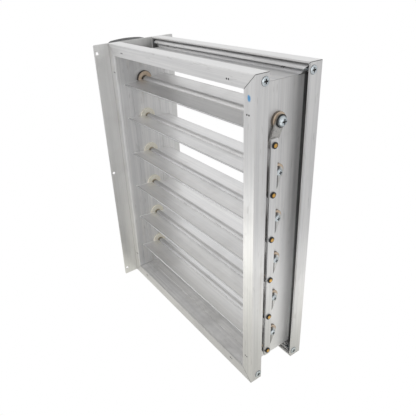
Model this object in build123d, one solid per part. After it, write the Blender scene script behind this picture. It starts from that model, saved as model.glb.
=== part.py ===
from build123d import *
import os
from math import cos, radians, sin, sqrt

# Rectangular zone damper: a mitred frame of lipped channel, six blades on one link bar, and a drive.
# X runs along the blades from the mounting plate, Y from the front face to the rear, Z upwards.
# The finished pieces are moved so that the origin is the middle of the underside of the unit's box.
# Lengths are in millimetres and angles in degrees.

# Frame of lipped channel, mitred at the corners and open outwards
frame_width = 309.0
frame_height = 400.0
frame_depth = 90.0
wall = 2.0
flange_width = 16.0  # from the outer edge to the duct side of the web
lip_width = 17.4
groove_width = 1.2
groove_depth = 0.6
groove_spread = 46.0
mitre_gap = 0.3  # between the cut faces at each corner

# Screw ports inside the top and bottom rails
port_dia = 8.4
port_bore = 3.6
port_slot = 2.4
port_slot_angle = 22.0  # from the middle of the rail towards its web
port_stem = 4.0
port_inset = 12.4  # from the front or rear face to the port
port_depth = 8.4  # from the outer edge to the port

# Corner keys behind the flanges
key_leg = 45.0
key_width = 8.0
key_thickness = 3.0
key_edge = 3.5  # from the outer edge of the frame to the key
stake_dia = 1.4  # punched in pairs through the flanges on to the keys
stake_depth = 0.8
stake_spread = 3.0
stake_from_end = 40.0
stake_from_edge = 9.8

# Mounting plate on the left end
plate_thickness = 2.0
plate_front_reach = 23.0
plate_rear_reach = 20.0
plate_hole_dia = 4.6
plate_hole_edge = 4.2  # from the long edge to the hole
plate_hole_end = 12.0  # from the top or bottom edge to the hole
plate_corner = 1.5

# Blades, spread evenly over the height of the opening
blade_count = 6
axis_from_web = 39.6  # from the rails to the first and last axles
axis_from_front = 44.0
blade_overlap = 12.2  # of two blades when they are shut
blade_thickness = 1.6
blade_boss_dia = 9.6
blade_bead_dia = 2.0
boss_relief = 4.0  # the boss stops short of the ends of the blade
blade_tilt = -6.0  # the blades stand front edge up
top_blade_tilt = 5.0  # the driven blade stands front edge down

# Axle stubs, bushings and clearances
axle_dia = 6.4
axle_grip = 40.0
axle_flat = 2.4  # from the axis to the flat that drives the crank
running_clearance = 0.05
fit_clearance = 0.02
end_clearance = 0.4
bush_body_dia = 11.0
left_flange_dia = 24.4
left_flange_thickness = 2.5
left_bush_reach = 4.0  # past the web, towards the plate
right_flange_dia = 18.4
right_flange_thickness = 3.0
right_bush_reach = 2.5  # past the web, towards the blade

# Crank arms and link bar in the right-hand channel
crank_radius = 25.6
crank_angle = 24.0  # from straight down towards the front
crank_thickness = 2.0
crank_hub_dia = 13.0
crank_end_dia = 11.0
crank_gap = 0.3
pin_dia = 4.4
pin_reach = 1.0  # past the link bushing
pin_chamfer = 0.4
bar_gap = 0.6
bar_thickness = 2.0
bar_width = 10.4
bar_end = 7.4  # from the last pin to the end of the bar
bar_corner = 2.0
link_bush_dia = 6.4
link_bush_flange_dia = 7.4
link_bush_flange = 1.2

# Screws: head diameter, head height, shank diameter, shank length
corner_screw = (8.2, 1.8, 3.5, 30.0)
crank_screw = (8.0, 2.8, 3.4, 11.0)
drive_crank_screw = (10.4, 3.6, 3.4, 12.0)
drive_screw = (6.0, 2.0, 3.0, 9.0)
screw_hole_play = 0.5
recess_depth = 1.2
recess_width = 0.16  # share of the head diameter
recess_span = 0.52  # share of the head diameter
washer_dia = 16.8
washer_thickness = 1.2

# Drive housing on the outer face of the plate, centred on the top blade's axle
housing_width = 64.0
housing_above_axis = 55.2
housing_below_axis = 56.0
housing_depth = 43.0
housing_wall = 2.0
housing_arch_radius = 200.0
housing_corner = 9.0
housing_round = 15.0
tab_width = 52.0
tab_height = 15.0
tab_thickness = 3.0
tab_screw_spread = 36.0
head_relief = 0.6  # round the heads of the two corner screws beside the drive
base_thickness = 4.0
base_screw_spread = 44.0
base_screw_rise = 34.0
gearbox_width = 44.0
gearbox_height = 66.0
gearbox_thickness = 14.0
gearbox_corner = 5.0
gearbox_drop = 10.0  # its middle below the axle
motor_dia = 34.0
motor_length = 17.0
motor_drop = 30.0  # its middle below the axle
coupler_dia = 18.0
coupler_length = 25.0
coupler_running_gap = 0.3
set_screw_dia = 4.0
set_screw_from_end = 6.0

# Places worked out from the sizes above
web_outer = flange_width - wall
right_web_inner = frame_width - flange_width
right_web_outer = frame_width - web_outer
lowest_axis = flange_width + axis_from_web
blade_pitch = (frame_height - 2 * lowest_axis) / (blade_count - 1)
blade_chord = blade_pitch + blade_overlap
axes_z = [lowest_axis + blade_pitch * step for step in reversed(range(blade_count))]
top_axis_z = axes_z[0]
blade_left = flange_width + left_flange_thickness + end_clearance
blade_right = right_web_inner - right_bush_reach - end_clearance
crank_inner = right_web_outer + right_flange_thickness + crank_gap
crank_outer = crank_inner + crank_thickness
bar_inner = crank_outer + bar_gap
bar_outer = bar_inner + bar_thickness
pin_outer = bar_outer + link_bush_flange + pin_reach
pin_dy = -crank_radius * sin(radians(crank_angle))
pin_dz = -crank_radius * cos(radians(crank_angle))
port_places = [port_inset, frame_depth - port_inset]
corner_heights = [port_depth, frame_height - port_depth]
plate_outer = -plate_thickness
housing_outer = plate_outer - housing_depth
coupler_inner = plate_outer - base_thickness - coupler_running_gap
coupler_outer = coupler_inner - coupler_length
box_left = housing_outer
box_right = frame_width + corner_screw[1]
box_middle_y = (frame_depth + plate_rear_reach - plate_front_reach) / 2
to_origin = Pos(-(box_left + box_right) / 2, -box_middle_y, 0)

parts = {}


def group(pieces):
    """Separate solids of the same kind, kept together as one node."""
    return Compound([solid for piece in pieces for solid in piece.solids()])


def rod(diameter, x_from, x_to, y, z):
    """A round bar along X between two places."""
    return Pos((x_from + x_to) / 2, y, z) * Rot(0, 90, 0) * Cylinder(diameter / 2, abs(x_to - x_from))


def flat_rod(diameter, flat, x_from, x_to, y, z):
    """A round bar along X with one flat on its upper side, at a distance from its axis."""
    spare = Pos((x_from + x_to) / 2, y, z + flat + diameter / 2) * Box(
        abs(x_to - x_from), 2 * diameter, diameter
    )
    return rod(diameter, x_from, x_to, y, z) - spare


def pan_screw(sizes, x, y, z, towards=1):
    """A pan head screw seated at x, with its head towards +X or -X and a cross recess."""
    head_dia, head_height, shank_dia, shank_length = sizes
    outline = Polyline(
        (-shank_length, 0),
        (-shank_length, shank_dia / 2),
        (0, shank_dia / 2),
        (0, head_dia / 2),
        (head_height * 0.4, head_dia / 2),
        (head_height * 0.85, head_dia * 0.36),
        (head_height, head_dia * 0.2),
        (head_height, 0),
        close=True,
    )
    screw = revolve(make_face(outline), Axis.X)
    long_side = head_dia * recess_span
    short_side = head_dia * recess_width
    centre = Pos(head_height, 0, 0)
    screw -= centre * Box(2 * recess_depth, long_side, short_side)
    screw -= centre * Box(2 * recess_depth, short_side, long_side)
    turn = 0 if towards > 0 else 180
    return Pos(x, y, z) * Rot(0, 0, turn) * screw


def channel(length, with_ports):
    """Lipped channel along X with its outer edge at Z 0, mitred and staked at both ends."""
    profile = make_face(
        Polyline(
            (0, 0),
            (lip_width, 0),
            (lip_width, wall),
            (wall, wall),
            (wall, web_outer),
            (frame_depth - wall, web_outer),
            (frame_depth - wall, wall),
            (frame_depth - lip_width, wall),
            (frame_depth - lip_width, 0),
            (frame_depth, 0),
            (frame_depth, flange_width),
            (0, flange_width),
            close=True,
        )
    )
    for side in (-1, 1):
        middle = frame_depth / 2 + side * groove_spread / 2
        profile -= Pos(middle, flange_width) * Rectangle(groove_width, 2 * groove_depth)
    if with_ports:
        for place, turn in zip(port_places, (port_slot_angle, 180 - port_slot_angle)):
            stem = web_outer - port_depth
            profile += Pos(place, port_depth) * Circle(port_dia / 2)
            profile += Pos(place, port_depth + stem / 2) * Rectangle(port_stem, stem)
            profile -= Pos(place, port_depth) * Circle(port_bore / 2)
            slot = Pos(port_dia / 4, 0) * Rectangle(port_dia / 2, port_slot)
            profile -= Pos(place, port_depth) * Rot(0, 0, turn) * slot
    bar = extrude(Plane.YZ * profile, length)
    reach = flange_width + wall
    for corner, side in ((0, 1), (length, -1)):
        cut = corner + side * mitre_gap / sqrt(2)
        spare = corner - side * 2 * wall
        slope = [(cut - side * wall, -wall), (cut + side * reach, reach)]
        wedge = make_face(Polyline(*slope, (spare, reach), (spare, -wall), close=True))
        bar -= extrude(Plane.XZ * wedge, -frame_depth)
        stake_x = corner + side * stake_from_end
        for y in (0, frame_depth):
            for step in (-stake_spread / 2, stake_spread / 2):
                along, across = (step, 0) if with_ports else (0, step)
                punch = Pos(stake_x + along, y, stake_from_edge + across) * Rot(90, 0, 0)
                bar -= punch * Cylinder(stake_dia / 2, 2 * stake_depth)
    return bar


def build_frame():
    """Four mitred channels: rails with screw ports, jambs with bushing holes and screw holes."""
    to_bottom = Plane(origin=(0, 0, 0), x_dir=(1, 0, 0), z_dir=(0, 0, 1))
    to_top = Plane(origin=(frame_width, 0, frame_height), x_dir=(-1, 0, 0), z_dir=(0, 0, -1))
    to_left = Plane(origin=(0, 0, frame_height), x_dir=(0, 0, -1), z_dir=(1, 0, 0))
    to_right = Plane(origin=(frame_width, 0, 0), x_dir=(0, 0, 1), z_dir=(-1, 0, 0))
    parts["bottom_rail"] = to_bottom.location * channel(frame_width, True)
    parts["top_rail"] = to_top.location * channel(frame_width, True)
    jamb = channel(frame_height, False)
    for name, plane, lip_inner, lip_outer, web_from, web_to in (
        ("left_jamb", to_left, wall, 0, web_outer, flange_width),
        ("right_jamb", to_right, frame_width - wall, frame_width, right_web_inner, right_web_outer),
    ):
        piece = plane.location * jamb
        bush_hole = bush_body_dia + 2 * fit_clearance
        for z in axes_z:
            piece -= rod(bush_hole, web_from, web_to, axis_from_front, z)
        screw_hole = corner_screw[2] + screw_hole_play
        for y in port_places:
            for z in corner_heights:
                piece -= rod(screw_hole, lip_inner, lip_outer, y, z)
        parts[name] = piece


def build_corner_keys():
    """Eight flat L keys that lie behind the front and rear flanges and hold the mitres."""
    near = key_edge
    far = key_edge + key_leg
    inner = key_edge + key_width
    outline = Polyline(
        (near, near), (far, near), (far, inner), (inner, inner), (inner, far), (near, far), close=True
    )
    key = extrude(Plane.XZ * make_face(outline), -key_thickness)
    keys = []
    for y in (wall, frame_depth - wall - key_thickness):
        for x_side, z_side in ((0, 0), (1, 0), (1, 1), (0, 1)):
            turn = {(0, 0): 0, (1, 0): -90, (1, 1): 180, (0, 1): 90}[(x_side, z_side)]
            keys.append(Pos(x_side * frame_width, y, z_side * frame_height) * Rot(0, turn, 0) * key)
    parts["corner_keys"] = group(keys)


def build_plate():
    """Flat mounting plate that closes the left channel and stands out past both faces."""
    plate_width = plate_front_reach + frame_depth + plate_rear_reach
    outline = Pos(box_middle_y, frame_height / 2) * RectangleRounded(plate_width, frame_height, plate_corner)
    plate = extrude(Plane.YZ * outline, -plate_thickness)
    front = plate_hole_edge - plate_front_reach
    rear = frame_depth + plate_rear_reach - plate_hole_edge
    for y in (front, rear):
        for z in (plate_hole_end, frame_height / 2, frame_height - plate_hole_end):
            plate -= rod(plate_hole_dia, plate_outer, 0, y, z)
    for y in port_places:
        for z in corner_heights:
            plate -= rod(corner_screw[2] + screw_hole_play, plate_outer, 0, y, z)
    plate -= rod(bush_body_dia, plate_outer, 0, axis_from_front, top_axis_z)
    for y, z in drive_screw_places():
        plate -= rod(drive_screw[2] + 2 * fit_clearance, plate_outer, 0, y, z)
    parts["mounting_plate"] = plate


def build_corner_screws():
    """Eight screws that run through the jamb lips into the ports of the rails."""
    left_sizes = (*corner_screw[:3], corner_screw[3] + plate_thickness)
    screws = []
    for y in port_places:
        for z in corner_heights:
            screws.append(pan_screw(corner_screw, frame_width, y, z))
            screws.append(pan_screw(left_sizes, plate_outer, y, z, towards=-1))
    parts["corner_screws"] = group(screws)


def flanged_bush(flange_dia, flange_from, flange_to, body_from, body_to, z):
    """A flanged plain bearing for one axle stub."""
    bush = rod(flange_dia, flange_from, flange_to, axis_from_front, z)
    bush += rod(bush_body_dia, body_from, body_to, axis_from_front, z)
    ends = (min(flange_from, body_from), max(flange_to, body_to))
    return bush - rod(axle_dia + 2 * running_clearance, *ends, axis_from_front, z)


def build_bushings():
    """Flanges face the blades on the left and lie under the cranks on the right."""
    left_end = web_outer - left_bush_reach
    flange_end = flange_width + left_flange_thickness
    left = [
        flanged_bush(left_flange_dia, flange_width, flange_end, left_end, flange_width, z) for z in axes_z
    ]
    parts["drive_bushing"] = left[0]
    parts["left_bushings"] = group(left[1:])
    right_start = right_web_inner - right_bush_reach
    flange_end = right_web_outer + right_flange_thickness
    right = [
        flanged_bush(right_flange_dia, right_web_outer, flange_end, right_start, right_web_outer, z)
        for z in axes_z
    ]
    parts["right_bushings"] = group(right)


def build_blade(number, z):
    """One extruded blade: two flat wings with beaded edges and a bored boss, cut back at its ends."""
    tilt = top_blade_tilt if number == 1 else blade_tilt
    profile = Rectangle(blade_chord - blade_bead_dia, blade_thickness) + Circle(blade_boss_dia / 2)
    for side in (-1, 1):
        profile += Pos(side * (blade_chord - blade_bead_dia) / 2, 0) * Circle(blade_bead_dia / 2)
    profile -= Circle(axle_dia / 2 + fit_clearance)
    length = blade_right - blade_left
    blade = extrude(Plane.YZ * profile, length)
    for middle in (boss_relief / 2, length - boss_relief / 2):
        blade -= Pos(middle, 0, 0) * Box(boss_relief, blade_boss_dia, blade_boss_dia)
    parts[f"blade_{number}"] = Pos(blade_left, axis_from_front, z) * Rot(tilt, 0, 0) * blade


def build_axles(number, z):
    """Two axle stubs in the ends of the boss; the top blade's left stub runs on into the drive."""
    left_end = coupler_outer if number == 1 else web_outer - left_bush_reach
    left = rod(axle_dia, left_end, blade_left + axle_grip, axis_from_front, z)
    right = rod(axle_dia, blade_right - axle_grip, crank_inner, axis_from_front, z)
    right += flat_rod(axle_dia, axle_flat, crank_inner, crank_outer, axis_from_front, z)
    thread = crank_screw_sizes(number)[3]
    hole = crank_screw_sizes(number)[2] + 2 * fit_clearance
    right -= rod(hole, crank_outer - thread, crank_outer, axis_from_front, z)
    parts[f"axles_{number}"] = group([left, right])


def crank_screw_sizes(number):
    """The driven crank has the larger screw."""
    return drive_crank_screw if number == 1 else crank_screw


def build_crank(number, z):
    """Crank arm on the flat of the axle, its screw, and the brass pin in its end."""
    hub = Circle(crank_hub_dia / 2)
    end = Pos(pin_dy, pin_dz) * Circle(crank_end_dia / 2)
    outline = make_hull(hub.edges() + end.edges())
    crank = Pos(crank_inner, axis_from_front, z) * extrude(Plane.YZ * outline, crank_thickness)
    span = (crank_inner, crank_outer)
    pin_place = (axis_from_front + pin_dy, z + pin_dz)
    wide = axle_dia + 2 * fit_clearance
    crank -= flat_rod(wide, axle_flat + fit_clearance, *span, axis_from_front, z)
    crank -= rod(pin_dia + 2 * fit_clearance, *span, *pin_place)
    parts[f"crank_{number}"] = crank
    pin = rod(pin_dia, crank_inner, pin_outer, *pin_place)
    parts[f"crank_pin_{number}"] = chamfer(pin.edges().sort_by(Axis.X)[-1:], pin_chamfer)
    seat = crank_outer
    if number == 1:
        seat += washer_thickness
        washer = rod(washer_dia, crank_outer, seat, axis_from_front, z)
        bore = drive_crank_screw[2] + 2 * fit_clearance
        parts["drive_crank_washer"] = washer - rod(bore, crank_outer, seat, axis_from_front, z)
    parts[f"crank_screw_{number}"] = pan_screw(crank_screw_sizes(number), seat, axis_from_front, z)


def build_link_bar():
    """Flat bar on all six crank pins, with a flanged bushing round each."""
    pin_y = axis_from_front + pin_dy
    pins_z = [z + pin_dz for z in axes_z]
    length = pins_z[0] - pins_z[-1] + 2 * bar_end
    outline = Pos(pin_y, (pins_z[0] + pins_z[-1]) / 2) * RectangleRounded(bar_width, length, bar_corner)
    bar = Pos(bar_inner, 0, 0) * extrude(Plane.YZ * outline, bar_thickness)
    bushes = []
    for pin_z in pins_z:
        bar -= rod(link_bush_dia + 2 * fit_clearance, bar_inner, bar_outer, pin_y, pin_z)
        bush = rod(link_bush_dia, bar_inner, bar_outer, pin_y, pin_z)
        bush += rod(link_bush_flange_dia, bar_outer, bar_outer + link_bush_flange, pin_y, pin_z)
        bore = pin_dia + 2 * running_clearance
        bushes.append(bush - rod(bore, bar_inner, bar_outer + link_bush_flange, pin_y, pin_z))
    parts["link_bar"] = bar
    parts["link_bushings"] = group(bushes)


def housing_block(inset, depth):
    """Housing form with an arched top and rounded front edges, taken in evenly by an inset."""
    half = housing_width / 2 - inset
    arch = housing_arch_radius - inset
    crown = housing_above_axis - inset
    shoulder = crown - (arch - sqrt(arch**2 - half**2))
    foot = inset - housing_below_axis
    sides = Polyline((-half, shoulder), (-half, foot), (half, foot), (half, shoulder))
    top = ThreePointArc((half, shoulder), (0, crown), (-half, shoulder))
    block = extrude(Plane.YZ * make_face([sides, top]), -depth)
    block = fillet(block.edges().filter_by(Axis.X), housing_corner - inset)
    outer_face = block.faces().sort_by(Axis.X)[0]
    return fillet(outer_face.edges(), housing_round - inset)


def drive_screw_places():
    """Two screws through the tab under the cover and two through the base, in Y and Z."""
    tab_z = top_axis_z - housing_below_axis - tab_height / 2
    base_z = top_axis_z + base_screw_rise
    places = []
    for side in (-1, 1):
        places.append((axis_from_front + side * tab_screw_spread / 2, tab_z))
        places.append((axis_from_front + side * base_screw_spread / 2, base_z))
    return places


def build_drive():
    """Geared drive under a moulded cover, and the coupler that it turns the top blade by."""
    at_axle = Pos(plate_outer, axis_from_front, top_axis_z)
    hollow = housing_block(housing_wall, housing_depth - housing_wall)
    cover = at_axle * (housing_block(0, housing_depth) - hollow)
    tab_z = top_axis_z - housing_below_axis - tab_height / 2
    tab = extrude(Plane.YZ * RectangleRounded(tab_width, tab_height, tab_thickness), -tab_thickness)
    tab_root = Rectangle(tab_width, tab_height / 2)
    tab += Pos(0, 0, tab_height / 4) * extrude(Plane.YZ * tab_root, -tab_thickness)
    cover += Pos(plate_outer, axis_from_front, tab_z) * tab
    base_width = housing_width - 2 * housing_wall - 2 * fit_clearance
    base_top = housing_above_axis - 2 * housing_wall - housing_arch_radius
    base_top += sqrt(housing_arch_radius**2 - (housing_width / 2) ** 2)
    base_height = base_top + housing_below_axis - housing_wall - fit_clearance
    base_middle = (base_top + housing_wall + fit_clearance - housing_below_axis) / 2
    base_outline = RectangleRounded(base_width, base_height, housing_corner)
    base = at_axle * Pos(0, 0, base_middle) * extrude(Plane.YZ * base_outline, -base_thickness)
    base_face = plate_outer - base_thickness
    base -= rod(bush_body_dia, base_face, plate_outer, axis_from_front, top_axis_z)
    for y in port_places:
        ends = (plate_outer - corner_screw[1] - head_relief, plate_outer)
        relief = rod(corner_screw[0] + 2 * head_relief, *ends, y, corner_heights[1])
        cover -= relief
        base -= relief
    screws = []
    for y, z in drive_screw_places():
        on_base = z > top_axis_z
        seat = base_face if on_base else plate_outer - tab_thickness
        hole = rod(drive_screw[2] + 2 * fit_clearance, seat, plate_outer, y, z)
        if on_base:
            base -= hole
        else:
            cover -= hole
        screws.append(pan_screw(drive_screw, seat, y, z, towards=-1))
    gearbox_z = top_axis_z - gearbox_drop
    gearbox_outline = RectangleRounded(gearbox_width, gearbox_height, gearbox_corner)
    gearbox = Pos(base_face, axis_from_front, gearbox_z) * extrude(
        Plane.YZ * gearbox_outline, -gearbox_thickness
    )
    gearbox_face = base_face - gearbox_thickness
    coupler_hole = coupler_dia + 2 * coupler_running_gap
    gearbox -= rod(coupler_hole, gearbox_face, base_face, axis_from_front, top_axis_z)
    coupler = rod(coupler_dia, coupler_outer, coupler_inner, axis_from_front, top_axis_z)
    coupler -= rod(axle_dia + 2 * fit_clearance, coupler_outer, coupler_inner, axis_from_front, top_axis_z)
    screw_length = (coupler_dia - axle_dia) / 2 - 2 * fit_clearance
    screw_middle = top_axis_z + axle_dia / 2 + fit_clearance + screw_length / 2
    screw_place = Pos(coupler_outer + set_screw_from_end, axis_from_front, screw_middle)
    coupler -= screw_place * Cylinder(set_screw_dia / 2 + fit_clearance, coupler_dia / 2)
    motor_z = top_axis_z - motor_drop
    parts["drive_cover"] = cover
    parts["drive_base"] = base
    parts["drive_gearbox"] = gearbox
    parts["drive_motor"] = rod(motor_dia, gearbox_face - motor_length, gearbox_face, axis_from_front, motor_z)
    parts["drive_screws"] = group(screws)
    parts["drive_coupler"] = coupler
    parts["coupler_set_screw"] = screw_place * Cylinder(set_screw_dia / 2, screw_length)


build_frame()
build_corner_keys()
build_plate()
build_corner_screws()
build_bushings()
for index, axis_z in enumerate(axes_z):
    build_blade(index + 1, axis_z)
    build_axles(index + 1, axis_z)
    build_crank(index + 1, axis_z)
build_link_bar()
build_drive()

os.makedirs("parts", exist_ok=True)
for name, shape in parts.items():
    export_step(to_origin * shape, f"parts/{name}.step")
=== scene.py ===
from math import cos, radians, sin

import bpy
import numpy as np
from mathutils import Matrix, Vector


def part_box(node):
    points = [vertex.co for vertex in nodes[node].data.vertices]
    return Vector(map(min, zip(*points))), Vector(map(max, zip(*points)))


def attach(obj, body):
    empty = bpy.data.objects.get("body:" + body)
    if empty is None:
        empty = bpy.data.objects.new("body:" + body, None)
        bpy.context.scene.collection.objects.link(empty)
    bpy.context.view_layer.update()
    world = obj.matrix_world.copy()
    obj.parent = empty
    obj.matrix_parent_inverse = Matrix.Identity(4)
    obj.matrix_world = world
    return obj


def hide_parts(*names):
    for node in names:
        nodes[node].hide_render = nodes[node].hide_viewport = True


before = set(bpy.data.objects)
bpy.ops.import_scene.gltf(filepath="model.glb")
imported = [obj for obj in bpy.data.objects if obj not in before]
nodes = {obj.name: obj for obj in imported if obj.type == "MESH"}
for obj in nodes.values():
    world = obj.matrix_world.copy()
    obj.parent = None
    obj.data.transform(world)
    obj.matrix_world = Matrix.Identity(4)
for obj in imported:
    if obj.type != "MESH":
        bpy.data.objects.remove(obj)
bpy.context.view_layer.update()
BLADE_NUMBERS = range(1, 7)

# Camera: place in metres, angles in degrees, focal length and principal point in pixels of the image
IMAGE = 416
CAMERA_PLACE = (0.4704, -0.3160, 0.4884)
CAMERA_AZIMUTH = 57.66
CAMERA_ELEVATION = 26.21
CAMERA_ROLL = -3.80
CAMERA_NEAR = 0.01
FOCAL_PIXELS = 436.2
PRINCIPAL_POINT = (181.9, 184.9)
SENSOR = 36.0

# Light: how bright the room and the floor are to the metal, where 1 is white
ROOM_LEVEL = 0.72
FLOOR_LEVEL = 0.62
FLOOR_GREY = (0.8, 0.8, 0.8, 1)
WHITE = (1, 1, 1, 1)
WARM = (1, 0.99, 0.92, 1)
WARM_START = 0.15
WARM_END = 0.45
FLOOR_EDGE = 3.0
# Painted pools of light on the floor, seen only in reflections: place, reach and gain
LIGHT_POOLS = [
    ((-0.09, -0.28, 0), 0.30, 1.05),
    ((-1.40, -1.10, 0), 1.60, 0.18),
    ((0.33, 0.135, 0), 0.19, 0.56),
    ((0.58, -0.26, 0), 0.45, 0.70),
]
# Soft square lamps: name, place, target, side in metres and power in watts
LAMPS = [
    ("front", (0.3, -1.5, 1.0), (0, 0, 0.2), 1.0, 4.0),
    ("right", (1.6, -0.1, 0.5), (0.15, 0, 0.15), 0.8, 2.4),
    ("back", (-1.3, 0.9, 1.0), (0, 0, 0.25), 1.6, 0.8),
    ("left", (-1.5, -0.85, 1.1), (0, 0, 0.2), 1.0, 4.0),
]

# The frame's section, in metres, and its middle, about which both sides mirror
WALL = 0.0020
LIP_WIDTH = 0.0174
FLANGE_WIDTH = 0.0160
FRAME_LOW = Vector(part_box("left_jamb")[0])
FRAME_HIGH = Vector(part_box("right_jamb")[1])
FRAME_MIDDLE = (FRAME_LOW + FRAME_HIGH) / 2
FRAME_HALF = (FRAME_HIGH - FRAME_LOW) / 2
FAR = 1.0

# Marks, wear, painted shade and painted highlights on the frame: places and widths in metres, strengths from 0
# to 1
STAKE_FROM_END = 0.0400
STAKE_FROM_EDGE = 0.0098
STAKE_SPREAD = 0.0030
STAKE_RADIUS = 0.0012
STAKE_CORE = 0.6
MITRE_WIDTH = 0.0006
MITRE_OPEN_SIDE = 0.75
MITRE_PLATE_SIDE = 0.15
# Painted shade on a strip of the jambs' webs deep under the lips
LIP_SHADE_START = 0.0084
LIP_SHADE_REACH = 0.0006
LIP_SHADE_STRENGTH = 0.8
LIP_SHADE_LIFTED = 0.7
THIN_START = 0.0116
# Heights between which painted light grows towards a jamb's foot, also lifting its painted shade
LIT_FOOT_LOW = 0.08
LIT_FOOT_TOP = 0.28
WEB_DULLNESS = 0.22
# Painted highlight on the rails' outer lip faces, and painted shade in their channels
HIGHLIGHT_DEPTH = 0.0008
HIGHLIGHT_STRENGTH = 0.6
CHANNEL_SHADE = 0.15
FACE_SMUDGE = 0.6
SEAM_WIDTH = 0.0026
SEAM_STRENGTH = 0.25
INK_PLACE = (0.1676, -0.0435, 0.3761)
INK_RADIUS = 0.0030

# Painted shade and painted highlights on the blades, from the axle, the tip or the left end
BOSS_EDGE = 0.0052
BOSS_FADE = 0.0006
BOSS_SHADE = 0.45
BOSS_ROUGHNESS = 0.3
LEFT_SHADE_START = 0.010
LEFT_SHADE_END = 0.070
LEFT_SHADE_STRENGTH = 0.5
SAWN_WIDTH = 0.0018
BEAD_WIDTH = 0.0018
# Painted shade on the blades' front beads, less for each lower blade
BEAD_SHADE = 0.9
BEAD_STEP = 0.06

# Screws and the washer: sizes in metres, and the cross recess as shares of the head
RECESS_SPAN = 0.52
RECESS_WIDTH = 0.16
RECESS_DEPTH = 0.0012
RECESS_SLOPE = 0.0003
RECESS_SHARE = 0.7
CORNER_CAD_HEAD = 0.0082
CORNER_CAD_HEIGHT = 0.0018
CORNER_HEAD = 0.0100
CORNER_HEAD_HEIGHT = 0.0014
CORNER_SHANK = 0.0250
# Painted shade round the corner screws' rims, as shares of the head
RIM_START = 0.43
RIM_END = 0.49
RIM_SHADE = 0.7
DRIVE_HEAD = 0.0118
DRIVE_HEAD_HEIGHT = 0.0042
SHANK_RADIUS = 0.0018
RING_RADIUS = 0.0072
TURN_STEPS = 96
HEAD_STEPS = 48
RING_STEPS = 40

# Painted shade on the cranks, past the link bar's edge and above the axle, and tones and painted shade on the
# bushings
SHADE_START = 0.0030
SHADE_END = 0.0055
EYE_FADE = 0.0030
CRANK_SHADE = 0.8
FLANGE_SIDE = 0.0090
FLANGE_SHADE = 0.8
HUB_RADIUS = 0.0052
SHAFT_RADIUS = 0.0060
TAN_RADIUS = 0.0114
TAN_OFFSET = Vector((0, 0.0008, -0.0003))

# How many noise cells lie in a metre, for metal drawn along X or along Z
ALONG_X = (9, 420, 420)
ALONG_Z = (420, 420, 9)

# Colours, linear
ALUMINIUM_LIGHT = (0.89, 0.885, 0.88, 1)
ALUMINIUM_DARK = (0.75, 0.75, 0.755, 1)
PLATE_LIGHT = (0.82, 0.82, 0.81, 1)
PLATE_DARK = (0.75, 0.75, 0.74, 1)
PALE_LIGHT = (0.94, 0.935, 0.93, 1)
PALE_DARK = (0.83, 0.83, 0.835, 1)
BOSS_TONE = (0.66, 0.66, 0.665, 1)
BEAD_TONE = (0.46, 0.46, 0.465, 1)
SMUDGE = (0.70, 0.695, 0.69, 1)
STAIN = (0.50, 0.43, 0.33, 1)
# Grey for painted shade in the rails' channels and on the blades' bosses
SHADE_GREY = (0.30, 0.30, 0.31, 1)
GRIME = (0.20, 0.19, 0.17, 1)
SHADOW = (0.05, 0.05, 0.05, 1)
ZINC_LIGHT = (0.80, 0.86, 0.89, 1)
ZINC_DARK = (0.46, 0.52, 0.56, 1)
STEEL_LIGHT = (0.42, 0.41, 0.40, 1)
STEEL_DARK = (0.20, 0.19, 0.18, 1)
CRANK_LIGHT = (0.62, 0.61, 0.59, 1)
CRANK_DARK = (0.40, 0.39, 0.38, 1)
BRASS_LIGHT = (0.90, 0.55, 0.16, 1)
BRASS_DARK = (0.62, 0.33, 0.08, 1)
CREAM = (0.86, 0.83, 0.73, 1)
CREAM_FLECK = (0.78, 0.74, 0.62, 1)
BROWN = (0.46, 0.39, 0.27, 1)
UMBER = (0.060, 0.052, 0.045, 1)
TAN = (0.74, 0.60, 0.46, 1)
TAN_FLECK = (0.58, 0.45, 0.33, 1)
BLACK = (0.012, 0.012, 0.013, 1)
BLACK_FLECK = (0.030, 0.030, 0.032, 1)
CHARCOAL = (0.035, 0.036, 0.038, 1)
CHARCOAL_FLECK = (0.060, 0.061, 0.064, 1)
GREY_PAINT = (0.30, 0.31, 0.32, 1)
GREY_FLECK = (0.24, 0.25, 0.26, 1)
INK = (0.16, 0.42, 0.74, 1)
BRIGHT = (0.97, 0.97, 0.97, 1)


def put(tree, kind, inputs=None, **settings):
    """Adds a node with its properties, and fills or links its inputs by name or number."""
    node = tree.nodes.new(kind)
    for name, value in settings.items():
        setattr(node, name, value)
    for name, value in (inputs or {}).items():
        if isinstance(value, bpy.types.NodeSocket):
            tree.links.new(value, node.inputs[name])
        else:
            node.inputs[name].default_value = value
    return node


def mix_colour(tree, factor, first, second, blend="MIX"):
    """Colour between two others by a factor from 0 to 1."""
    inputs = {0: factor, 6: first, 7: second}
    return put(tree, "ShaderNodeMix", inputs, data_type="RGBA", blend_type=blend).outputs[2]


def calculate(tree, operation, first, second=0):
    """One sum on two values."""
    return put(tree, "ShaderNodeMath", {0: first, 1: second}, operation=operation).outputs[0]


def times(tree, first, second):
    """Product of two values, as where two masks overlap or a mask has a strength."""
    return calculate(tree, "MULTIPLY", first, second)


def vector(tree, operation, first, second=(0, 0, 0)):
    """One sum on two vectors, as a vector."""
    return put(tree, "ShaderNodeVectorMath", {0: first, 1: second}, operation=operation).outputs[0]


def axes(tree, where):
    """The X, Y and Z of a place."""
    return put(tree, "ShaderNodeSeparateXYZ", {0: where}).outputs


def fade(tree, value, start, end):
    """Smooth step that is 0 at start and 1 at end."""
    inputs = {"Value": value, "From Min": start, "From Max": end}
    return put(tree, "ShaderNodeMapRange", inputs, interpolation_type="SMOOTHSTEP").outputs["Result"]


def place_on_object(tree):
    """Place in the shared frame, in metres."""
    return put(tree, "ShaderNodeTexCoord").outputs["Object"]


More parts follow.
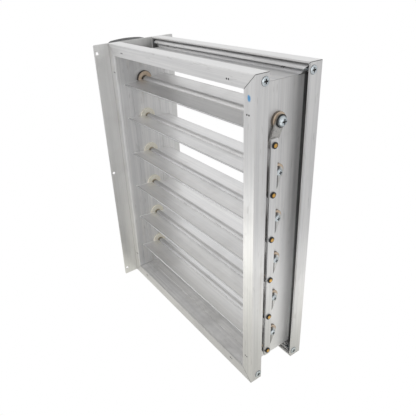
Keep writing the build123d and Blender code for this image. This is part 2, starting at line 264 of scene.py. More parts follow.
def place_from_middle(tree):
    """Place measured from the frame's middle, with all four corners, front and back folded on to one."""
    return vector(tree, "ABSOLUTE", vector(tree, "SUBTRACT", place_on_object(tree), FRAME_MIDDLE))


def noise(tree, where, scale, detail):
    """Noise value from 0 to 1."""
    inputs = {"Vector": where, "Scale": scale, "Detail": detail, "Roughness": 0.6}
    return put(tree, "ShaderNodeTexNoise", inputs).outputs["Fac"]


def new_group(name, inputs, outputs):
    """Shader group with named sockets: inputs are (type, name, default) and outputs are (type, name)."""
    tree = bpy.data.node_groups.new(name, "ShaderNodeTree")
    for kind, socket, default in inputs:
        item = tree.interface.new_socket(socket, in_out="INPUT", socket_type="NodeSocket" + kind)
        item.default_value = default
    for kind, socket in outputs:
        tree.interface.new_socket(socket, in_out="OUTPUT", socket_type="NodeSocket" + kind)
    return tree, tree.nodes.new("NodeGroupInput").outputs, tree.nodes.new("NodeGroupOutput").inputs


def give(tree, result, **values):
    """Links values to a group's outputs by name."""
    for name, value in values.items():
        tree.links.new(value, result[name])


def add_group(tree, group, **inputs):
    """Outputs of a shader group whose sockets are filled by name, with spaces written as underscores."""
    filled = {name.replace("_", " "): value for name, value in inputs.items()}
    return put(tree, "ShaderNodeGroup", filled, node_tree=group).outputs


FINISH = [("Color", "Color"), ("Float", "Roughness"), ("Vector", "Normal")]
MASK = [("Float", "Mask")]


def drawn_metal_group():
    """Mill finish: noise stretched along the die gives lines, and broader noise smudges, stains and specks."""
    tree, given, result = new_group(
        "drawn_metal",
        [
            ("Vector", "Stretch", ALONG_X),
            ("Color", "Light", ALUMINIUM_LIGHT),
            ("Color", "Dark", ALUMINIUM_DARK),
            ("Float", "Smudges", 0.3),
            ("Float", "Stains", 0.1),
            ("Float", "Specks", 0.04),
            ("Float", "Base Roughness", 0.44),
            ("Float", "Depth", 0.15),
        ],
        FINISH,
    )
    where = place_on_object(tree)
    drawn = put(tree, "ShaderNodeMapping", {"Vector": where, "Scale": given["Stretch"]}).outputs["Vector"]
    lines = noise(tree, drawn, 1.0, 4.0)
    bands = noise(tree, drawn, 0.22, 2.0)
    streaks = noise(tree, drawn, 0.35, 1.0)
    dashes = noise(tree, vector(tree, "ADD", drawn, vector(tree, "MULTIPLY", where, (60, 60, 60))), 0.7, 1.0)
    clouds = noise(tree, where, 22.0, 3.0)
    both = times(tree, calculate(tree, "ADD", lines, bands), 0.5)
    colour = mix_colour(tree, fade(tree, both, 0.34, 0.66), given["Dark"], given["Light"])
    smudge = times(tree, fade(tree, clouds, 0.45, 0.75), given["Smudges"])
    colour = mix_colour(tree, smudge, colour, SMUDGE)
    stained = times(tree, fade(tree, streaks, 0.58, 0.72), fade(tree, clouds, 0.40, 0.62))
    colour = mix_colour(tree, times(tree, stained, given["Stains"]), colour, STAIN)
    speck = times(tree, fade(tree, dashes, 0.66, 0.74), given["Specks"])
    colour = mix_colour(tree, speck, colour, GRIME)
    uneven = times(tree, calculate(tree, "SUBTRACT", both, 0.5), 0.2)
    rough = calculate(tree, "ADD", given["Base Roughness"], uneven)
    rough = calculate(tree, "ADD", rough, times(tree, smudge, 0.25))
    bump = put(tree, "ShaderNodeBump", {"Height": both, "Strength": given["Depth"], "Distance": 0.0004})
    give(tree, result, Color=colour, Roughness=rough, Normal=bump.outputs["Normal"])
    return tree


def mottled_group():
    """Plated or moulded surface: two noises mottle the colour, and the finer one gives the grain."""
    tree, given, result = new_group(
        "mottled",
        [
            ("Color", "Base", CREAM),
            ("Color", "Fleck", CREAM_FLECK),
            ("Float", "Cells", 300.0),
            ("Float", "Base Roughness", 0.5),
            ("Float", "Depth", 0.1),
        ],
        FINISH,
    )
    where = place_on_object(tree)
    coarse = noise(tree, where, given["Cells"], 2.0)
    fine = noise(tree, where, times(tree, given["Cells"], 5.0), 2.0)
    both = times(tree, calculate(tree, "ADD", coarse, fine), 0.5)
    colour = mix_colour(tree, fade(tree, both, 0.40, 0.64), given["Base"], given["Fleck"])
    rough = calculate(tree, "ADD", given["Base Roughness"], times(tree, coarse, 0.18))
    bump = put(tree, "ShaderNodeBump", {"Height": fine, "Strength": given["Depth"], "Distance": 0.0002})
    give(tree, result, Color=colour, Roughness=rough, Normal=bump.outputs["Normal"])
    return tree


def line_distance_group():
    """Distance from a line: the way from a place on it, with the part along the line taken out."""
    tree, given, result = new_group(
        "line_distance",
        [
            ("Vector", "Vector", (0, 0, 0)),
            ("Vector", "Line Place", (0, 0, 0)),
            ("Vector", "Across", (0, 1, 1)),
        ],
        [("Float", "Distance")],
    )
    way = vector(tree, "SUBTRACT", given["Vector"], given["Line Place"])
    way = vector(tree, "MULTIPLY", way, given["Across"])
    length = put(tree, "ShaderNodeVectorMath", {0: way}, operation="LENGTH").outputs["Value"]
    give(tree, result, Distance=length)
    return tree


def box_mask_group():
    """Mask that is 1 inside a box: the greatest of the three ways past its half sides is below zero."""
    tree, given, result = new_group(
        "box_mask",
        [("Vector", "Vector", (0, 0, 0)), ("Vector", "Middle", (0, 0, 0)), ("Vector", "Half", (1, 1, 1))],
        MASK,
    )
    way = vector(tree, "ABSOLUTE", vector(tree, "SUBTRACT", given["Vector"], given["Middle"]))
    past = axes(tree, vector(tree, "SUBTRACT", way, given["Half"]))
    most = calculate(tree, "MAXIMUM", calculate(tree, "MAXIMUM", past["X"], past["Y"]), past["Z"])
    give(tree, result, Mask=fade(tree, most, 0.0001, -0.0001))
    return tree


LINE_DISTANCE = line_distance_group()
BOX_MASK = box_mask_group()


def distance(tree, where, place, across=(0, 1, 1)):
    """Distance from a line through a place, along X unless another way across it is given."""
    return add_group(tree, LINE_DISTANCE, Vector=where, Line_Place=place, Across=across)["Distance"]


def box_between(tree, low, high):
    """Mask of the box between two corners, measured from the frame's middle."""
    sides = {"Middle": (low + high) / 2, "Half": (high - low) / 2}
    return add_group(tree, BOX_MASK, Vector=place_from_middle(tree), **sides)["Mask"]


def stake_marks_group():
    """Two punch marks through a flange, for painted shade: each is dark within a radius of its own line along
    Y.
    """
    places = [("Vector", "First", (0, 0, 0)), ("Vector", "Second", (0, 0, 0))]
    inputs = places + [("Float", "Radius", STAKE_RADIUS)]
    tree, given, result = new_group("stake_marks", inputs, MASK)
    where = place_from_middle(tree)
    core = times(tree, given["Radius"], STAKE_CORE)
    first = fade(tree, distance(tree, where, given["First"], (1, 0, 1)), given["Radius"], core)
    second = fade(tree, distance(tree, where, given["Second"], (1, 0, 1)), given["Radius"], core)
    give(tree, result, Mask=calculate(tree, "MAXIMUM", first, second))
    return tree


def mitre_line_group():
    """Joint line in the flanges and lips, where the ways in from the side and from the end are equal."""
    inputs = [
        ("Float", "Width", MITRE_WIDTH),
        ("Float", "Open Side", MITRE_OPEN_SIDE),
        ("Float", "Plate Side", MITRE_PLATE_SIDE),
    ]
    tree, given, result = new_group("mitre_line", inputs, MASK)
    ways = axes(tree, vector(tree, "SUBTRACT", FRAME_HALF, place_from_middle(tree)))
    gap = calculate(tree, "ABSOLUTE", calculate(tree, "SUBTRACT", ways["X"], ways["Z"]))
    line = fade(tree, gap, given["Width"], times(tree, given["Width"], 0.5))
    x = axes(tree, place_on_object(tree))["X"]
    open_side = fade(tree, x, FRAME_MIDDLE.x - WALL, FRAME_MIDDLE.x + WALL)
    more = times(tree, open_side, calculate(tree, "SUBTRACT", given["Open Side"], given["Plate Side"]))
    line = times(tree, line, calculate(tree, "ADD", more, given["Plate Side"]))
    outside = fade(tree, ways["Y"], LIP_WIDTH * 1.05, LIP_WIDTH)
    give(tree, result, Mask=times(tree, line, outside))
    return tree


def rail_light_and_shade_group():
    """Lips painted bright along their edges as a highlight, and a duller channel with painted shade, each
    inside a box.
    """
    inputs = [("Color", "Color", ALUMINIUM_LIGHT), ("Float", "Roughness", 0.5)]
    tree, given, result = new_group("rail_light_and_shade", inputs, FINISH[:2])
    edge = Vector((FAR, FAR, HIGHLIGHT_DEPTH))
    top = Vector((0, 0, FRAME_HALF.z))
    highlight = times(tree, box_between(tree, top - edge, top + edge), HIGHLIGHT_STRENGTH)
    colour = mix_colour(tree, highlight, given["Color"], BRIGHT)
    low = Vector((0, 0, FRAME_HALF.z - FLANGE_WIDTH + WALL / 2))
    high = Vector((FAR, FRAME_HALF.y - WALL / 2, FRAME_HALF.z - WALL / 2))
    inside = box_between(tree, low, high)
    colour = mix_colour(tree, times(tree, inside, CHANNEL_SHADE), colour, SHADE_GREY)
    rough = calculate(tree, "ADD", given["Roughness"], times(tree, inside, WEB_DULLNESS))
    give(tree, result, Color=colour, Roughness=rough)
    return tree


def jamb_shade_group():
    """Painted shade on a strip of the web deep under the lips, less low at the back, and a web duller than the
    lips.
    """
    inputs = [("Color", "Color", ALUMINIUM_LIGHT), ("Float", "Roughness", 0.5)]
    tree, given, result = new_group("jamb_shade", inputs, FINISH[:2])
    web = FRAME_HALF.x - FLANGE_WIDTH + WALL
    lip = FRAME_HALF.y - LIP_WIDTH
    flange = FRAME_HALF.y - WALL - LIP_SHADE_REACH
    low = Vector((web - LIP_SHADE_REACH, lip + LIP_SHADE_START, 0))
    high = Vector((web + LIP_SHADE_REACH, flange, FRAME_HALF.z))
    place = axes(tree, place_on_object(tree))
    shallow = fade(tree, place["Y"], lip + THIN_START, lip + THIN_START - LIP_SHADE_REACH)
    behind = times(tree, fade(tree, place["Y"], 0, WALL), shallow)
    lifted = times(tree, fade(tree, place["Z"], LIT_FOOT_TOP, LIT_FOOT_LOW), behind)
    # painted shade under the lips, lifted towards the foot at the back
    strength = calculate(tree, "SUBTRACT", LIP_SHADE_STRENGTH, times(tree, lifted, LIP_SHADE_LIFTED))
    painted_shade = times(tree, box_between(tree, low, high), strength)
    middle_of_web = Vector((web - WALL / 2, 0, 0))
    half = Vector((WALL, flange, FRAME_HALF.z))
    dull = times(tree, box_between(tree, middle_of_web - half, middle_of_web + half), WEB_DULLNESS)
    colour = mix_colour(tree, painted_shade, given["Color"], SHADOW)
    give(tree, result, Color=colour, Roughness=calculate(tree, "ADD", given["Roughness"], dull))
    return tree


def blade_shade_group():
    """Painted shade on the boss by the distance from the axle, deeper at the left; beads dimmed by painted
    shade and a sawn end painted bright as a highlight.
    """
    tree, given, result = new_group(
        "blade_shade",
        [
            ("Color", "Color", PALE_LIGHT),
            ("Float", "Roughness", 0.5),
            ("Vector", "Axle", (0, 0, 0)),
            ("Float", "Half Chord", 0.03),
            ("Float", "Left End", 0.0),
            ("Float", "Bead Dullness", BEAD_SHADE),
        ],
        FINISH[:2] + [("Float", "Metallic")],
    )
    where = place_on_object(tree)
    away = distance(tree, where, given["Axle"])
    along = calculate(tree, "SUBTRACT", axes(tree, where)["X"], given["Left End"])
    boss = fade(tree, away, BOSS_EDGE, BOSS_EDGE - BOSS_FADE)
    left_shade = times(tree, boss, fade(tree, along, LEFT_SHADE_END, LEFT_SHADE_START))
    past_tip = calculate(tree, "SUBTRACT", away, given["Half Chord"])
    bead = fade(tree, past_tip, -BEAD_WIDTH, -BEAD_WIDTH / 2)
    sawn = fade(tree, along, SAWN_WIDTH, SAWN_WIDTH * 0.7)
    # painted shade on the boss
    colour = mix_colour(tree, times(tree, boss, BOSS_SHADE), given["Color"], BOSS_TONE, "MULTIPLY")
    # painted shade deepening towards the blade's left end
    colour = mix_colour(tree, times(tree, left_shade, LEFT_SHADE_STRENGTH), colour, SHADE_GREY)
    # painted shade dimming the highlight along the front bead
    colour = mix_colour(tree, times(tree, bead, given["Bead Dullness"]), colour, BEAD_TONE)
    # a painted highlight along the sawn left end, which is made non-metal there
    colour = mix_colour(tree, sawn, colour, BRIGHT)
    rough = calculate(tree, "ADD", given["Roughness"], times(tree, boss, BOSS_ROUGHNESS))
    give(tree, result, Color=colour, Roughness=rough, Metallic=calculate(tree, "SUBTRACT", 1.0, sawn))
    return tree


def cross_recess_group():
    """Cross sunk in a head on an axis along X: two boxes, each with the arm and the flank as half sides."""
    inputs = [("Vector", "Vector", (0, 0, 0)), ("Vector", "Middle", (0, 0, 0)), ("Float", "Diameter", 0.008)]
    tree, given, result = new_group("cross_recess", inputs, MASK)
    arm = times(tree, given["Diameter"], RECESS_SPAN / 2)
    flank = times(tree, given["Diameter"], RECESS_WIDTH / 2)
    boxes = []
    for y, z in ((arm, flank), (flank, arm)):
        half = put(tree, "ShaderNodeCombineXYZ", {"X": RECESS_DEPTH / 2, "Y": y, "Z": z}).outputs[0]
        sides = {"Middle": given["Middle"], "Half": half}
        boxes.append(add_group(tree, BOX_MASK, Vector=given["Vector"], **sides)["Mask"])
    give(tree, result, Mask=calculate(tree, "MAXIMUM", *boxes))
    return tree


def crank_shade_group():
    """Painted shade on a crank beside the link bar's edge, by the way past it, and above and in front of the
    axle.
    """
    inputs = [("Vector", "Axle", (0, 0, 0)), ("Float", "Bar Edge", 0.0), ("Float", "Strength", CRANK_SHADE)]
    tree, given, result = new_group("crank_shade", inputs, MASK)
    where = place_on_object(tree)
    past_bar = calculate(tree, "SUBTRACT", axes(tree, where)["Y"], given["Bar Edge"])
    beside = fade(tree, past_bar, SHADE_END, SHADE_START)
    way = axes(tree, vector(tree, "SUBTRACT", where, given["Axle"]))
    above = times(tree, fade(tree, way["Z"], 0, EYE_FADE), fade(tree, way["Y"], EYE_FADE, 0))
    painted_shade = calculate(tree, "MAXIMUM", beside, above)
    give(tree, result, Mask=times(tree, painted_shade, given["Strength"]))
    return tree


DRAWN_METAL = drawn_metal_group()
MOTTLED = mottled_group()
STAKE_MARKS = stake_marks_group()
MITRE_LINE = mitre_line_group()
RAIL_LIGHT_AND_SHADE = rail_light_and_shade_group()
JAMB_SHADE = jamb_shade_group()
BLADE_SHADE = blade_shade_group()
CROSS_RECESS = cross_recess_group()
CRANK_SHADE_MASK = crank_shade_group()


def new_material(name, metallic):
    """Material with a Principled shader, its node tree and the shader's sockets."""
    material = bpy.data.materials.new(name)
    material.use_nodes = True
    shader = material.node_tree.nodes["Principled BSDF"].inputs
    shader["Metallic"].default_value = metallic
    return material, material.node_tree, shader


def connect(tree, shader, finish, **changes):
    """Links a finish to the shader, with other values where they are given by name."""
    values = {name: finish[name] for kind, name in FINISH} | changes
    for name, value in values.items():
        tree.links.new(value, shader["Base Color" if name == "Color" else name])


def dress(material, *names):
    """Gives CAD nodes a material."""
    for name in names:
        for slot in nodes[name].material_slots:
            slot.material = material


def middle(name):
    """Middle of a node's box."""
    low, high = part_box(name)
    return (Vector(low) + Vector(high)) / 2


def shade_stakes(tree, colour, from_side, from_end):
    """Pair of punch marks painted dark as shade, beside each other along X, at ways in from the frame's side
    and from its end.
    """
    pair = Vector((FRAME_HALF.x - from_side, 0, FRAME_HALF.z - from_end))
    step = Vector((STAKE_SPREAD / 2, 0, 0))
    mask = add_group(tree, STAKE_MARKS, First=pair - step, Second=pair + step)["Mask"]
    return mix_colour(tree, mask, colour, SHADOW)


def darken_mitres(tree, colour):
    """Dark joint lines at the four corners."""
    return mix_colour(tree, add_group(tree, MITRE_LINE)["Mask"], colour, SHADOW)


def smudge_faces(tree, colour):
    """Smudged front and rear faces of a rail."""
    y = axes(tree, place_from_middle(tree))["Y"]
    face = fade(tree, y, FRAME_HALF.y - WALL, FRAME_HALF.y - WALL / 2)
    return mix_colour(tree, times(tree, face, FACE_SMUDGE), colour, SMUDGE)


def paint_light_at_foot(tree, colour):
    """Inside of a jamb's channel, painted brighter towards its foot, as light from the floor comes in at its
    open end.
    """
    face = FRAME_HALF.y - WALL / 2
    low = Vector((FRAME_HALF.x - FLANGE_WIDTH + WALL / 2, -face, 0))
    high = Vector((FRAME_HALF.x - WALL / 2, face, FRAME_HALF.z))
    height = axes(tree, place_on_object(tree))["Z"]
    foot = times(tree, box_between(tree, low, high), fade(tree, height, LIT_FOOT_TOP, LIT_FOOT_LOW))
    return mix_colour(tree, foot, colour, BRIGHT)


def line_plate_side(tree, colour):
    """Flange beside the plate: a dark line along the plate and a painted highlight along the duct's edge."""
    place = axes(tree, place_on_object(tree))
    seam = fade(tree, place["X"], FRAME_LOW.x + SEAM_WIDTH, FRAME_LOW.x + SEAM_WIDTH / 2)
    colour = mix_colour(tree, times(tree, seam, SEAM_STRENGTH), colour, GRIME)
    front = fade(tree, place["Y"], FRAME_LOW.y + WALL, FRAME_LOW.y + WALL / 2)
    edge = FRAME_LOW.x + FLANGE_WIDTH - SEAM_WIDTH
    edge_highlight = times(tree, fade(tree, place["X"], edge - SEAM_WIDTH / 2, edge), front)
    return mix_colour(tree, edge_highlight, colour, BRIGHT)


def add_ink(tree, colour):
    """Ragged spot: the distance from its middle, with noise added, against its radius."""
    where = place_on_object(tree)
    away = distance(tree, where, INK_PLACE, (1, 1, 0.7))
    ragged = times(tree, noise(tree, where, 260.0, 1.0), INK_RADIUS * 0.6)
    spot = fade(tree, calculate(tree, "ADD", away, ragged), INK_RADIUS * 1.3, INK_RADIUS * 0.8)
    return mix_colour(tree, spot, colour, INK)


def dress_rails():
    """Rails in aluminium drawn along X, the bottom one paler, as painted light, and rougher with smudged
    faces.
    """
    # the bottom rail's paler tone is painted light
    pale = {"Light": PALE_LIGHT, "Smudges": 0.8, "Base_Roughness": 0.65}
    for name, tones in (("top_rail", {}), ("bottom_rail", pale)):
        rail, tree, shader = new_material(name, 1.0)
        finish = add_group(tree, DRAWN_METAL, Stretch=ALONG_X, Stains=0.15, Specks=0.12, **tones)
        lit_and_shaded = add_group(tree, RAIL_LIGHT_AND_SHADE, Color=finish["Color"], Roughness=finish["Roughness"])
        colour = smudge_faces(tree, lit_and_shaded["Color"]) if name == "bottom_rail" else lit_and_shaded["Color"]
        colour = shade_stakes(tree, colour, STAKE_FROM_END, STAKE_FROM_EDGE)
        connect(tree, shader, finish, Color=darken_mitres(tree, colour), Roughness=lit_and_shaded["Roughness"])
        dress(rail, name)


def dress_jambs():
    """Jambs in aluminium drawn along Z: the left one lined beside the plate, the right one with the ink."""
    for name in ("left_jamb", "right_jamb"):
        jamb, tree, shader = new_material(name, 1.0)
        finish = add_group(tree, DRAWN_METAL, Stretch=ALONG_Z, Stains=0.15, Specks=0.15, Base_Roughness=0.40)
        colour = shade_stakes(tree, finish["Color"], STAKE_FROM_EDGE, STAKE_FROM_END)
        colour = paint_light_at_foot(tree, colour) if name == "right_jamb" else line_plate_side(tree, colour)
        lit_and_shaded = add_group(tree, JAMB_SHADE, Color=colour, Roughness=finish["Roughness"])
        colour = darken_mitres(tree, lit_and_shaded["Color"])
        colour = add_ink(tree, colour) if name == "right_jamb" else colour
        connect(tree, shader, finish, Color=colour, Roughness=lit_and_shaded["Roughness"])
        dress(jamb, name)


def dress_drawn(name, node, **finish):
    """Aluminium piece with a drawn finish and no marks of its own."""
    metal, tree, shader = new_material(name, 1.0)
    connect(tree, shader, add_group(tree, DRAWN_METAL, **finish))
    dress(metal, node)


def dress_sheets():
    """Mounting plate, link bar and corner keys."""
    dress_drawn("plate", "mounting_plate", Stretch=ALONG_Z, Depth=0.08, Light=PLATE_LIGHT, Dark=PLATE_DARK)
    dress_drawn("link_bar", "link_bar", Stretch=ALONG_Z)
    dress_drawn("keys", "corner_keys", Stretch=ALONG_X)


def dress_blades():
    """Blades in pale aluminium drawn along X, with more painted shade on their beads the higher they are."""
    pale = {"Light": PALE_LIGHT, "Dark": PALE_DARK, "Base_Roughness": 0.38}
    for number in BLADE_NUMBERS:
        name = f"blade_{number}"
        low, high = (Vector(corner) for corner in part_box(name))
        blade, tree, shader = new_material(name, 1.0)
        finish = add_group(tree, DRAWN_METAL, Stretch=ALONG_X, **pale)
        lit_and_shaded = add_group(
            tree,
            BLADE_SHADE,
            Color=finish["Color"],
            Roughness=finish["Roughness"],
            Axle=middle(f"axles_{number}"),
            Half_Chord=(high - low).yz.length / 2,
            Left_End=low.x,
            Bead_Dullness=BEAD_SHADE - BEAD_STEP * number,
        )
        connect(tree, shader, finish, **lit_and_shaded)
        dress(blade, name)


def shade_recess(tree, colour, where, head, diameter):
    """Painted shade in a cross recess under the top of a screw's head."""
    sunk = head - Vector((RECESS_DEPTH * 0.6, 0, 0))
    mask = add_group(tree, CROSS_RECESS, Vector=where, Middle=sunk, Diameter=diameter)["Mask"]
    return mix_colour(tree, mask, colour, SHADOW)


def dress_corner_screws(zinc):
    """Zinc corner screws with painted shade round their rims, on both sides of the frame at once."""
    low, high = (Vector(corner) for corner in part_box("corner_screws"))
    across = Vector((0, high.y - low.y - CORNER_CAD_HEAD, high.z - low.z - CORNER_CAD_HEAD)) / 2
    rise = CORNER_HEAD_HEIGHT - CORNER_CAD_HEIGHT
    screws, tree, shader = new_material("corner_screws", 1.0)
    finish = add_group(tree, MOTTLED, **zinc)
    colour = finish["Color"]
    where = place_from_middle(tree)
    for reach in (high.x - FRAME_MIDDLE.x, FRAME_MIDDLE.x - low.x):
        colour = shade_recess(tree, colour, where, across + Vector((reach + rise, 0, 0)), CORNER_HEAD)
    rim = fade(tree, distance(tree, where, across), CORNER_HEAD * RIM_START, CORNER_HEAD * RIM_END)
    colour = mix_colour(tree, times(tree, rim, RIM_SHADE), colour, SHADOW)
    connect(tree, shader, finish, Color=colour)
    dress(screws, "corner_screws")


def dress_screws():
    """Zinc screws with painted shade in their cross recesses."""
    zinc = {"Base": ZINC_LIGHT, "Fleck": ZINC_DARK, "Base_Roughness": 0.2, "Cells": 600.0}
    dress_corner_screws(zinc)
    for number in BLADE_NUMBERS:
        name = f"crank_screw_{number}"
        low, high = (Vector(corner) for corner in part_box(name))
        head = middle(name)
        head.x = high.x
        diameter = high.z - low.z
        if number == 1:
            head.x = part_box("drive_crank_washer")[1][0] + DRIVE_HEAD_HEIGHT
            diameter = DRIVE_HEAD
        screw, tree, shader = new_material(name, 1.0)
        finish = add_group(tree, MOTTLED, **zinc)
        colour = shade_recess(tree, finish["Color"], place_on_object(tree), head, diameter)
        connect(tree, shader, finish, Color=colour)
        dress(screw, name)
    dress_mottled("drive_screws", 1.0, ["drive_screws", "coupler_set_screw"], **zinc)


def turned_grid(x, radius):
    """Surface turned about X: places (x(s), r(s) cos a, r(s) sin a) for all s and a at once."""
    angle = np.linspace(0, 2 * np.pi, TURN_STEPS, endpoint=False)
    along = np.repeat(x[:, None], TURN_STEPS, axis=1)
    return np.stack([along, np.outer(radius, np.cos(angle)), np.outer(radius, np.sin(angle))], axis=-1)


def screw_grid(diameter, height, shank):
    """Head (2r/D)^3 + (x/H)^2 = 1 on a straight shank, sunk by the recess depth within a cross's arms."""
    turn = np.linspace(0, np.pi / 2, HEAD_STEPS)[1:]
    x = np.concatenate([height * np.cos(turn), [0, -shank]])
    radius = np.concatenate([diameter / 2 * np.sin(turn) ** (2 / 3), [SHANK_RADIUS, SHANK_RADIUS]])
    grid = turned_grid(x, radius)
    across = abs(grid[..., 1:])
    arm = diameter * RECESS_SPAN / 2 - across.max(axis=-1)
    flank = diameter * RECESS_WIDTH / 2 - across.min(axis=-1)
    sunk = np.clip(np.minimum(arm, flank) / RECESS_SLOPE, 0, 1) * (grid[..., 0] > 0)
    grid[..., 0] -= min(RECESS_DEPTH, RECESS_SHARE * height) * sunk
    return grid


def ring_grid(radius, thickness):
    """Washer with the section (x/t)^8 + (r/w)^8 = 1 about the middle of its wall."""
    turn = np.linspace(0, 2 * np.pi, RING_STEPS)
    sides = np.sign(np.cos(turn)) * abs(np.cos(turn)) ** 0.25
    faces = np.sign(np.sin(turn)) * abs(np.sin(turn)) ** 0.25
    spread = (radius - SHANK_RADIUS) / 2
    return turned_grid(-thickness / 2 * (1 + faces), radius - spread + spread * sides)


def add_turned(name, grid, places, body, node):
    """Piece made of one grid at every place (x, y, z, side), turned half round where it looks left."""
    places = np.array(places)
    side = places[:, 3]
    turn = np.stack([side, np.ones_like(side), side], axis=-1)
    copies = grid[None] * turn[:, None, None] + places[:, None, None, :3]
    index = np.arange(copies[..., 0].size).reshape(copies.shape[:3])
    after = np.roll(index, -1, axis=2)
    quads = np.stack([index[:, :-1], index[:, 1:], after[:, 1:], after[:, :-1]], axis=-1)
    faces = quads.reshape(-1, 4).tolist() + index[:, 0].tolist() + index[:, -1, ::-1].tolist()
    mesh = bpy.data.meshes.new(name)
    mesh.from_pydata(copies.reshape(-1, 3).tolist(), [], faces)
    mesh.shade_smooth()
    mesh.materials.append(nodes[node].material_slots[0].material)
    piece = bpy.data.objects.new(name, mesh)
    bpy.context.collection.objects.link(piece)
    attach(piece, body)
    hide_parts(node)


def add_screws():
    """Corner screws, and the driven crank's screw and washer, with heads as large as they look."""
    low, high = (Vector(corner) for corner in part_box("corner_screws"))
    corners = [
        (seat, y, z, side)
        for seat, side in ((high.x - CORNER_CAD_HEIGHT, 1), (low.x + CORNER_CAD_HEIGHT, -1))
        for y in (low.y + CORNER_CAD_HEAD / 2, high.y - CORNER_CAD_HEAD / 2)
        for z in (low.z + CORNER_CAD_HEAD / 2, high.z - CORNER_CAD_HEAD / 2)
    ]
    grid = screw_grid(CORNER_HEAD, CORNER_HEAD_HEIGHT, CORNER_SHANK)
    add_turned("corner_pan_screws", grid, corners, "frame", "corner_screws")
    low, high = (Vector(corner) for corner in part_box("drive_crank_washer"))
    place = [(high.x, *middle("drive_crank_washer").yz, 1)]
    grid = screw_grid(DRIVE_HEAD, DRIVE_HEAD_HEIGHT, high.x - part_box("crank_screw_1")[0][0])
    add_turned("drive_crank_screw", grid, place, "blade_1_set", "crank_screw_1")
    grid = ring_grid(RING_RADIUS, high.x - low.x)
    add_turned("drive_crank_ring", grid, place, "blade_1_set", "drive_crank_washer")


def dress_mottled(name, metallic, names, **finish):
    """Plated or moulded pieces."""
    material, tree, shader = new_material(name, metallic)
    connect(tree, shader, add_group(tree, MOTTLED, **finish))
    dress(material, *names)


def dress_cranks():
    """Grey drive crank, and paler cranks with painted shade along the link bar and above their screws."""
    crank = {"Base": CRANK_LIGHT, "Fleck": CRANK_DARK, "Base_Roughness": 0.36, "Cells": 320.0}
    dress_mottled("drive_crank", 1.0, ["crank_1"], **crank)
    crank.update(Base=ALUMINIUM_DARK, Fleck=CRANK_LIGHT)
    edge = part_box("link_bar")[1][1]
    for number in BLADE_NUMBERS[1:]:
        name = f"crank_{number}"
        material, tree, shader = new_material(name, 1.0)
        finish = add_group(tree, MOTTLED, **crank)
        painted_shade = add_group(tree, CRANK_SHADE_MASK, Axle=middle(f"axles_{number}"), Bar_Edge=edge)["Mask"]
        connect(tree, shader, finish, Color=mix_colour(tree, painted_shade, finish["Color"], SHADOW))
        dress(material, name)


def dress_linkage():
    """Dark steel axles, cranks and brass pins."""
    steel = {"Base": STEEL_LIGHT, "Fleck": STEEL_DARK, "Base_Roughness": 0.36, "Cells": 260.0}
    dress_mottled("axles", 1.0, [f"axles_{k}" for k in BLADE_NUMBERS] + ["drive_coupler"], **steel)
    dress_cranks()
    brass = {"Base": BRASS_LIGHT, "Fleck": BRASS_DARK, "Base_Roughness": 0.25, "Cells": 600.0}
    dress_mottled("pins", 1.0, [f"crank_pin_{k}" for k in BLADE_NUMBERS], **brass)


def dress_bushings():
    """Cream bushings with a brown hub on the left, tan ones on the right with painted shade on their side
    walls, and a drive bushing with painted shade round an off-centre tan face.
    """
    tan = {"Base": TAN, "Fleck": TAN_FLECK, "Base_Roughness": 0.42, "Cells": 380.0}
    bushings, tree, shader = new_material("right_bushings", 0.0)
    finish = add_group(tree, MOTTLED, **tan)
    colour = finish["Color"]
    for number in BLADE_NUMBERS:
        away = distance(tree, place_on_object(tree), middle(f"axles_{number}"))
        # painted shade on each flange's side wall
        side = times(tree, fade(tree, away, FLANGE_SIDE, FLANGE_SIDE * 1.01), FLANGE_SHADE)
        near = fade(tree, away, FLANGE_SIDE * 1.2, FLANGE_SIDE * 1.1)
        colour = mix_colour(tree, times(tree, side, near), colour, UMBER)
    connect(tree, shader, finish, Color=colour)
    dress(bushings, "right_bushings")
    bushings, tree, shader = new_material("left_bushings", 0.0)
    finish = add_group(tree, MOTTLED, Base=CREAM, Fleck=CREAM_FLECK, Base_Roughness=0.45, Cells=260.0)
    colour = finish["Color"]
    for number in BLADE_NUMBERS[1:]:
        away = distance(tree, place_on_object(tree), middle(f"axles_{number}"))
        colour = mix_colour(tree, fade(tree, away, HUB_RADIUS * 1.1, HUB_RADIUS * 0.9), colour, BROWN)
    connect(tree, shader, finish, Color=colour)
    dress(bushings, "left_bushings")
    axle = middle("drive_bushing")
    bushing, tree, shader = new_material("drive_bushing", 0.0)
    finish = add_group(tree, MOTTLED, **tan)
    where = place_on_object(tree)
    face = distance(tree, where, axle + TAN_OFFSET)
    # a dark ring of painted shade round an off-centre tan face
    colour = mix_colour(tree, fade(tree, face, TAN_RADIUS * 0.97, TAN_RADIUS * 1.03), finish["Color"], UMBER)
    shaft = distance(tree, where, axle)
    colour = mix_colour(tree, fade(tree, shaft, SHAFT_RADIUS * 1.1, SHAFT_RADIUS * 0.7), colour, UMBER)
    connect(tree, shader, finish, Color=colour)
    dress(bushing, "drive_bushing")


def dress_plastics():
    """Black washer and sleeves, charcoal drive case and grey motor."""
    black = {"Base": BLACK, "Fleck": BLACK_FLECK, "Base_Roughness": 0.4, "Depth": 0.15, "Cells": 420.0}
    dress_mottled("black_parts", 0.0, ["drive_crank_washer", "link_bushings"], **black)
    case = {"Base": CHARCOAL, "Fleck": CHARCOAL_FLECK, "Base_Roughness": 0.45, "Depth": 0.35, "Cells": 380.0}
    dress_mottled("drive_case", 0.0, ["drive_cover", "drive_base", "drive_gearbox"], **case)
    paint = {"Base": GREY_PAINT, "Fleck": GREY_FLECK, "Base_Roughness": 0.4, "Depth": 0.12, "Cells": 150.0}
    dress_mottled("motor", 0.0, ["drive_motor"], **paint)


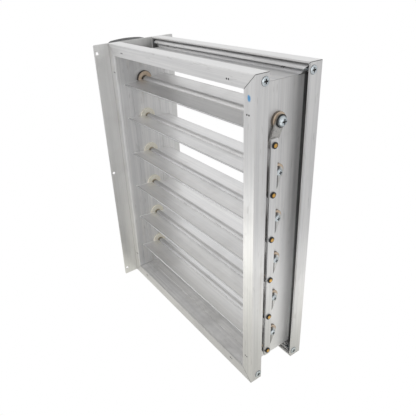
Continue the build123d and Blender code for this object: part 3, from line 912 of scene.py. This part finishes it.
def add_camera():
    """Camera at the photograph's place, turned by azimuth, elevation and roll."""
    azimuth = radians(CAMERA_AZIMUTH)
    elevation = radians(CAMERA_ELEVATION)
    roll = radians(CAMERA_ROLL)
    forward = Vector((-sin(azimuth) * cos(elevation), cos(azimuth) * cos(elevation), -sin(elevation)))
    right = Vector((cos(azimuth), sin(azimuth), 0))
    up = right.cross(forward)
    right_rolled = right * cos(roll) + up * sin(roll)
    up_rolled = up * cos(roll) - right * sin(roll)
    data = bpy.data.cameras.new("camera")
    data.sensor_width = SENSOR
    data.lens = FOCAL_PIXELS / IMAGE * SENSOR
    data.shift_x = (IMAGE / 2 - PRINCIPAL_POINT[0]) / IMAGE
    data.shift_y = (PRINCIPAL_POINT[1] - IMAGE / 2) / IMAGE
    data.clip_start = CAMERA_NEAR
    camera = bpy.data.objects.new("camera", data)
    turn = Matrix((right_rolled, up_rolled, -forward)).transposed()
    camera.matrix_world = Matrix.Translation(CAMERA_PLACE) @ turn.to_4x4()
    bpy.context.collection.objects.link(camera)
    bpy.context.scene.camera = camera


def add_lamp(name, place, target, side, power):
    """Square soft lamp facing a target."""
    data = bpy.data.lights.new(name, "AREA")
    data.size = side
    data.energy = power
    lamp = bpy.data.objects.new(name, data)
    lamp.location = place
    lamp.rotation_euler = (Vector(target) - Vector(place)).to_track_quat("-Z", "Y").to_euler()
    bpy.context.collection.objects.link(lamp)


def add_floor():
    """Pale floor, white to the camera, and pale with painted pools of light in reflections."""
    edge = FLOOR_EDGE
    corners = [(-edge, -edge, 0), (edge, -edge, 0), (edge, edge, 0), (-edge, edge, 0)]
    mesh = bpy.data.meshes.new("floor")
    mesh.from_pydata(corners, [], [(0, 1, 2, 3)])
    floor = bpy.data.objects.new("floor", mesh)
    bpy.context.collection.objects.link(floor)
    material = bpy.data.materials.new("floor")
    material.use_nodes = True
    tree = material.node_tree
    tree.nodes.clear()
    where = place_on_object(tree)
    upright = (1, 1, 0)
    lit = FLOOR_LEVEL
    for place, reach, gain in LIGHT_POOLS:
        # each pool adds painted light to the floor as the metal sees it
        pool = fade(tree, distance(tree, where, place, upright), reach, 0.0)
        lit = calculate(tree, "ADD", lit, times(tree, pool, gain))
    path = put(tree, "ShaderNodeLightPath").outputs
    direct = calculate(tree, "MAXIMUM", path["Is Camera Ray"], path["Is Transmission Ray"])
    level = calculate(tree, "MAXIMUM", direct, times(tree, path["Is Glossy Ray"], lit))
    seen = calculate(tree, "MAXIMUM", direct, path["Is Glossy Ray"])
    pale = put(tree, "ShaderNodeBsdfDiffuse", {"Color": FLOOR_GREY}).outputs[0]
    near = fade(tree, distance(tree, where, (0, 0, 0), upright), WARM_END, WARM_START)
    tint = mix_colour(tree, times(tree, near, path["Is Glossy Ray"]), WHITE, WARM)
    white = put(tree, "ShaderNodeEmission", {"Color": tint, "Strength": level}).outputs[0]
    mix = put(tree, "ShaderNodeMixShader", {0: seen, 1: pale, 2: white}).outputs[0]
    put(tree, "ShaderNodeOutputMaterial", {"Surface": mix})
    mesh.materials.append(material)


def add_room():
    """World that the camera sees as white and that lights the object as an even grey."""
    world = bpy.data.worlds.new("room")
    bpy.context.scene.world = world
    world.use_nodes = True
    tree = world.node_tree
    tree.nodes.clear()
    path = put(tree, "ShaderNodeLightPath").outputs
    direct = calculate(tree, "MAXIMUM", path["Is Camera Ray"], path["Is Transmission Ray"])
    level = calculate(tree, "MAXIMUM", direct, ROOM_LEVEL)
    white = put(tree, "ShaderNodeBackground", {"Color": WHITE, "Strength": level}).outputs[0]
    put(tree, "ShaderNodeOutputWorld", {"Surface": white})


dress_rails()
dress_jambs()
dress_sheets()
dress_blades()
dress_screws()
dress_linkage()
dress_bushings()
dress_plastics()
add_screws()
add_camera()
add_floor()
add_room()
for lamp_values in LAMPS:
    add_lamp(*lamp_values)
bpy.context.scene.view_settings.view_transform = "Standard"
